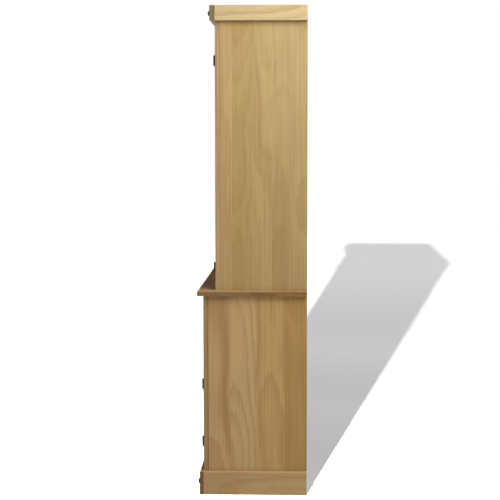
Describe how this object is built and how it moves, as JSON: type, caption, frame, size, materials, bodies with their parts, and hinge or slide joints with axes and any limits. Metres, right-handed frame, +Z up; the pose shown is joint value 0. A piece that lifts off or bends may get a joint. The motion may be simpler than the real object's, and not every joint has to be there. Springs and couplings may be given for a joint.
{
  "type": "buffet and hutch",
  "caption": "Tall solid pine buffet and hutch: glazed hutch doors over a counter, drawers and panelled doors below, with black iron hinges, drop handles and studs.",
  "frame": {"origin": "on the floor, in the middle of the whole piece's width and depth", "axes": "+X to the viewer's right when facing the doors, +Y to the wall behind, +Z up"},
  "size_m": [0.9, 0.44, 1.96],
  "materials": {
    "waxed_pine": "honey-coloured wax",
    "inner_pine": "thin wax, paler",
    "black_iron": "forged iron, blackened and waxed",
    "steel": "plain zinced steel",
    "catch_plastic": "brown moulded case",
    "glass": "clear float glass"
  },
  "bodies": {
    "root": {"base_side_left": "waxed_pine", "base_side_right": "waxed_pine", "base_floor_board": "waxed_pine", "base_partition": "inner_pine", "base_back_boards": "inner_pine", "base_face_frame": "waxed_pine", "base_shelves": "inner_pine", "counter_cleats": "inner_pine", "counter_top": "waxed_pine", "drawer_runners": "inner_pine", "plinth_front": "waxed_pine", "plinth_sides": "waxed_pine", "hutch_side_left": "waxed_pine", "hutch_side_right": "waxed_pine", "hutch_floor_board": "waxed_pine", "hutch_top_board": "waxed_pine", "hutch_back_boards": "inner_pine", "hutch_face_frame": "waxed_pine", "hutch_shelves": "inner_pine", "cornice_front": "waxed_pine", "cornice_sides": "waxed_pine", "iron_studs": "black_iron", "shelf_pins": "steel", "frame_hinge_leaves": "black_iron", "hinge_pins": "black_iron", "door_catches": "catch_plastic"},
    "drawer_lower_left": {"drawer_lower_left_front": "waxed_pine", "drawer_lower_left_box": "inner_pine", "drawer_lower_left_handle": "black_iron"},
    "drawer_lower_left_bail": {"drawer_lower_left_bail": "black_iron"},
    "drawer_lower_right": {"drawer_lower_right_front": "waxed_pine", "drawer_lower_right_box": "inner_pine", "drawer_lower_right_handle": "black_iron"},
    "drawer_lower_right_bail": {"drawer_lower_right_bail": "black_iron"},
    "drawer_upper_left": {"drawer_upper_left_front": "waxed_pine", "drawer_upper_left_box": "inner_pine", "drawer_upper_left_handle": "black_iron"},
    "drawer_upper_left_bail": {"drawer_upper_left_bail": "black_iron"},
    "drawer_upper_right": {"drawer_upper_right_front": "waxed_pine", "drawer_upper_right_box": "inner_pine", "drawer_upper_right_handle": "black_iron"},
    "drawer_upper_right_bail": {"drawer_upper_right_bail": "black_iron"},
    "base_door_left": {"base_door_left_frame": "waxed_pine", "base_door_left_panel": "waxed_pine", "base_door_left_ironwork": "black_iron"},
    "base_door_left_bail": {"base_door_left_bail": "black_iron"},
    "base_door_right": {"base_door_right_frame": "waxed_pine", "base_door_right_panel": "waxed_pine", "base_door_right_ironwork": "black_iron"},
    "base_door_right_bail": {"base_door_right_bail": "black_iron"},
    "hutch_door_left": {"hutch_door_left_frame": "waxed_pine", "hutch_door_left_glass": "glass", "hutch_door_left_bars": "waxed_pine", "hutch_door_left_ironwork": "black_iron"},
    "hutch_door_left_bail": {"hutch_door_left_bail": "black_iron"},
    "hutch_door_right": {"hutch_door_right_frame": "waxed_pine", "hutch_door_right_glass": "glass", "hutch_door_right_bars": "waxed_pine", "hutch_door_right_ironwork": "black_iron"},
    "hutch_door_right_bail": {"hutch_door_right_bail": "black_iron"}
  },
  "joints": [
    {"name": "drawer_lower_left_slide", "type": "slide", "parent": "root", "child": "drawer_lower_left", "axis": [0, -1, 0], "range_m": [0, 0.27]},
    {"name": "drawer_lower_left_bail_swing", "type": "hinge", "parent": "drawer_lower_left", "child": "drawer_lower_left_bail", "pos_m": [-0.20375, -0.20298, 0.608], "axis": [-1, 0, 0], "range_deg": [0, 90]},
    {"name": "drawer_lower_right_slide", "type": "slide", "parent": "root", "child": "drawer_lower_right", "axis": [0, -1, 0], "range_m": [0, 0.27]},
    {"name": "drawer_lower_right_bail_swing", "type": "hinge", "parent": "drawer_lower_right", "child": "drawer_lower_right_bail", "pos_m": [0.20375, -0.20298, 0.608], "axis": [-1, 0, 0], "range_deg": [0, 90]},
    {"name": "drawer_upper_left_slide", "type": "slide", "parent": "root", "child": "drawer_upper_left", "axis": [0, -1, 0], "range_m": [0, 0.27]},
    {"name": "drawer_upper_left_bail_swing", "type": "hinge", "parent": "drawer_upper_left", "child": "drawer_upper_left_bail", "pos_m": [-0.20375, -0.20298, 0.736], "axis": [-1, 0, 0], "range_deg": [0, 90]},
    {"name": "drawer_upper_right_slide", "type": "slide", "parent": "root", "child": "drawer_upper_right", "axis": [0, -1, 0], "range_m": [0, 0.27]},
    {"name": "drawer_upper_right_bail_swing", "type": "hinge", "parent": "drawer_upper_right", "child": "drawer_upper_right_bail", "pos_m": [0.20375, -0.20298, 0.736], "axis": [-1, 0, 0], "range_deg": [0, 90]},
    {"name": "base_door_left_hinge", "type": "hinge", "parent": "root", "child": "base_door_left", "pos_m": [-0.384, -0.2008, 0.3235], "axis": [0, 0, -1], "range_deg": [0, 160]},
    {"name": "base_door_left_bail_swing", "type": "hinge", "parent": "base_door_left", "child": "base_door_left_bail", "pos_m": [-0.0535, -0.20298, 0.3905], "axis": [-1, 0, 0], "range_deg": [0, 90]},
    {"name": "base_door_right_hinge", "type": "hinge", "parent": "root", "child": "base_door_right", "pos_m": [0.384, -0.2008, 0.3235], "axis": [0, 0, 1], "range_deg": [0, 160]},
    {"name": "base_door_right_bail_swing", "type": "hinge", "parent": "base_door_right", "child": "base_door_right_bail", "pos_m": [0.0535, -0.20298, 0.3905], "axis": [-1, 0, 0], "range_deg": [0, 90]},
    {"name": "hutch_door_left_hinge", "type": "hinge", "parent": "root", "child": "hutch_door_left", "pos_m": [-0.384, -0.1518, 1.3315], "axis": [0, 0, -1], "range_deg": [0, 160]},
    {"name": "hutch_door_left_bail_swing", "type": "hinge", "parent": "hutch_door_left", "child": "hutch_door_left_bail", "pos_m": [-0.0285, -0.15398, 1.2985], "axis": [-1, 0, 0], "range_deg": [0, 90]},
    {"name": "hutch_door_right_hinge", "type": "hinge", "parent": "root", "child": "hutch_door_right", "pos_m": [0.384, -0.1518, 1.3315], "axis": [0, 0, 1], "range_deg": [0, 160]},
    {"name": "hutch_door_right_bail_swing", "type": "hinge", "parent": "hutch_door_right", "child": "hutch_door_right_bail", "pos_m": [0.0285, -0.15398, 1.2985], "axis": [-1, 0, 0], "range_deg": [0, 90]}
  ]
}
